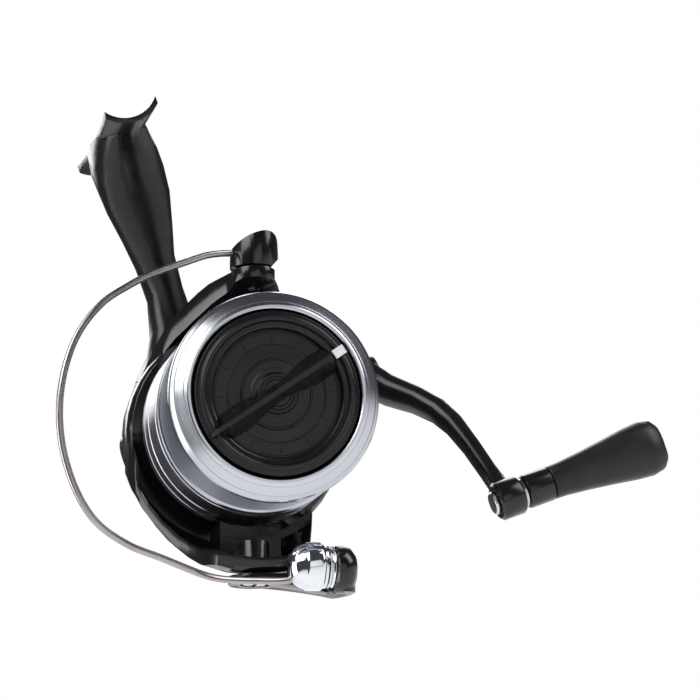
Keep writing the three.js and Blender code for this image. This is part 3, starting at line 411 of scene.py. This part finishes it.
# The drag knob: a ringed dial with raised ticks, and a chamfered grip bar across it.
DIAL = [
    (0.0, -3.4), (0.9, -3.4), (1.1, -3.25), (1.9, -3.25), (2.1, -3.4), (3.0, -3.4), (3.3, -2.7),
    (3.9, -2.7), (4.05, -2.85), (4.6, -2.85), (4.8, -2.6), (5.1, -2.1), (6.1, -2.1), (6.25, -2.0),
    (7.9, -2.0), (8.1, -2.15), (8.4, -2.15), (8.6, -1.6), (11.4, -1.5), (11.5, -1.62), (11.75, -1.62),
    (11.85, -1.5), (14.5, -1.5), (14.6, -1.65), (14.9, -1.65), (15.1, -1.5), (15.3, -1.5), (15.6, -2.8),
    (15.9, -2.95), (16.8, -3.1), (17.0, -3.35), (17.2, -3.8), (17.4, -3.9), (18.0, -3.9), (18.2, -3.75),
    (18.4, -3.3), (18.6, -3.2), (19.1, -3.1), (19.4, -3.0), (19.6, -2.6), (19.6, -0.4), (19.2, 0.1),
    (15.2, 1.2), (9.2, 1.2), (9.2, 3.4), (8.6, 3.4), (8.6, -0.2), (4.9, -0.2), (4.9, 3.4), (4.2, 3.4),
    (4.2, -0.2), (0.0, -0.2),
]
# Along the bar: distance from the axis, half width at the foot, half width at the top, foot, top.
BAR = [
    (-19.3, 0.8, 0.4, -2.9, -4.7), (-17.8, 1.0, 0.5, -2.6, -6.2), (-15.7, 1.2, 0.5, -1.4, -6.6),
    (-14.9, 3.1, 0.5, -1.3, -6.6), (-9.5, 3.4, 0.55, -1.3, -6.6), (-4.4, 2.5, 0.6, -1.3, -6.6),
    (4.4, 2.5, 0.6, -1.3, -6.6), (9.5, 3.4, 0.6, -1.3, -6.6), (14.7, 3.3, 0.6, -1.3, -6.6),
    (15.3, 1.6, 1.2, -1.4, -5.65), (18.6, 1.3, 1.1, -2.6, -5.65), (19.3, 1.0, 0.8, -2.9, -5.0),
]
# The bar's sides lean in a little up to a shoulder part of the way to its top.
SHOULDER = 0.22
WAIST = 0.97


def bar(stations, lean):
    """A bar of six-sided sections, lying across the axis at that lean."""
    vertices, faces = [], []
    for reach, foot, top, low, high in stations:
        waist = foot * WAIST
        shoulder = low * (1 - SHOULDER) + high * SHOULDER
        section = [(-foot, low), (foot, low), (waist, shoulder)]
        section += [(top, high), (-top, high), (-waist, shoulder)]
        for across, y in section:
            x = reach * math.cos(lean) - across * math.sin(lean)
            z = reach * math.sin(lean) + across * math.cos(lean)
            vertices.append((x * MM, y * MM, z * MM))
    for k in range(len(stations) - 1):
        for i in range(6):
            j = (i + 1) % 6
            faces.append((k * 6 + i, k * 6 + j, k * 6 + 6 + j, k * 6 + 6 + i))
    return vertices, faces + [(5, 4, 3, 2, 1, 0), tuple(range(len(vertices) - 6, len(vertices)))]


def together(*shapes):
    """The vertices and faces of several closed shapes as one mesh."""
    vertices, faces = [], []
    for points, polygons in shapes:
        shift = len(vertices)
        vertices += points
        faces += [tuple(index + shift for index in polygon) for polygon in polygons]
    return vertices, faces


# The bar points at its pale inlay, and a tick stands every twelfth of a turn except under the bar.
inlay = middle_of("drag_knob_inlay")
BAR_LEAN = math.atan2(inlay.z, inlay.x)
TICK = [(12.6, 0.16, 0.12, -1.4, -1.72), (14.2, 0.16, 0.12, -1.4, -1.72)]
ticks = [bar(TICK, BAR_LEAN + math.radians(30 * k)) for k in range(1, 12) if k != 6]
dial = together(turned(DIAL, sides=160), bar(BAR, BAR_LEAN), *ticks)
piece("drag_knob_dial", *dial, "drag_knob_assembly", "drag_black", "drag_knob",
      edge=0.06 * MM, shading=CRISP)


# The camera and the light ---------------------------------------------------------------------------
# The camera: where it stands, the directions to its right and ahead, and its lens and sensor in mm.
EYE = (-0.2010, -0.8134, -0.1711)
RIGHT = Vector((0.9082, -0.2217, -0.3550))
AHEAD = Vector((0.2796, 0.9525, 0.1206))
LENS = 174.16
SENSOR = 36
# The studio: a round floor below the reel, and lamps of (place, width and height, watts) around it.
FLOOR_R = 1.1
FLOOR_SIDES = 64
FLOOR_DROP = 0.12
BEAM = math.radians(110)
AIM = (0.02, 0, -0.06)
LAMPS = {
    "key": ((-0.45, -0.35, 0.75), (0.8, 0.8), 4),
    "left": ((-0.9, 0.05, 0.05), (0.55, 0.9), 3),
    "right": ((0.85, -0.35, 0.3), (0.5, 0.7), 2),
    "low": ((0.1, -1.1, -0.1), (0.9, 0.6), 0.7),
    "back": ((0.2, 0.9, 0.5), (1.1, 0.6), 3),
}
# What the surround is to reflections, to soft light, and to the eye.
SURROUND_DIM = (0.07, 0.07, 0.08, 1)
SURROUND_SOFT = (0.38, 0.38, 0.39, 1)
SURROUND_SEEN = (1, 1, 1, 1)


def camera():
    """The camera at the photograph's viewing angle."""
    lens = bpy.data.cameras.new("camera")
    lens.lens = LENS
    lens.sensor_width = SENSOR
    made = bpy.data.objects.new("camera", lens)
    ahead = AHEAD.normalized()
    up = RIGHT.cross(ahead).normalized()
    right = ahead.cross(up).normalized()
    turn = Matrix((right, up, -ahead)).transposed().to_4x4()
    made.matrix_world = Matrix.Translation(EYE) @ turn
    bpy.context.scene.collection.objects.link(made)
    bpy.context.scene.camera = made


def lamp(name, place, size, power):
    """A soft flat lamp that lights the reel from that place."""
    light = bpy.data.lights.new(name, "AREA")
    light.shape = "RECTANGLE"
    light.size, light.size_y = size
    light.spread = BEAM
    light.energy = power
    made = bpy.data.objects.new(name, light)
    turn = (Vector(AIM) - Vector(place)).to_track_quat("-Z", "Y").to_matrix().to_4x4()
    made.matrix_world = Matrix.Translation(place) @ turn
    bpy.context.scene.collection.objects.link(made)


def studio():
    """A pale floor, five soft lamps, and a surround that is white to the eye and dim in reflections."""
    mesh = bpy.data.meshes.new("floor")
    angles = [2 * math.pi * k / FLOOR_SIDES for k in range(FLOOR_SIDES)]
    rim = [(FLOOR_R * math.cos(angle), FLOOR_R * math.sin(angle), 0) for angle in angles]
    mesh.from_pydata(rim, [], [tuple(range(FLOOR_SIDES))])
    floor = bpy.data.objects.new("floor", mesh)
    floor.location = (0, 0, CAD_BOX[0][2] - FLOOR_DROP)
    mesh.materials.append(finish_of("floor", (0.86, 0.86, 0.86), (0.9, 0.9, 0.9), (0.7, 0.8)))
    bpy.context.scene.collection.objects.link(floor)
    for name, (place, size, power) in LAMPS.items():
        lamp(name, place, size, power)
    world = bpy.data.worlds.new("world")
    world.use_nodes = True
    bpy.context.scene.world = world
    tree = world.node_tree
    rays = tree.nodes.new("ShaderNodeLightPath")
    pale = tree.nodes.new("ShaderNodeMixRGB")
    pale.inputs["Color1"].default_value = SURROUND_DIM
    pale.inputs["Color2"].default_value = SURROUND_SOFT
    tree.links.new(rays.outputs["Is Diffuse Ray"], pale.inputs["Fac"])
    tree.links.new(pale.outputs["Color"], tree.nodes["Background"].inputs["Color"])
    white = tree.nodes.new("ShaderNodeBackground")
    white.inputs["Color"].default_value = SURROUND_SEEN
    mix = tree.nodes.new("ShaderNodeMixShader")
    tree.links.new(rays.outputs["Is Camera Ray"], mix.inputs["Fac"])
    tree.links.new(tree.nodes["Background"].outputs["Background"], mix.inputs[1])
    tree.links.new(white.outputs["Background"], mix.inputs[2])
    tree.links.new(mix.outputs["Shader"], tree.nodes["World Output"].inputs["Surface"])
    bpy.context.scene.view_settings.view_transform = "Standard"


camera()
studio()
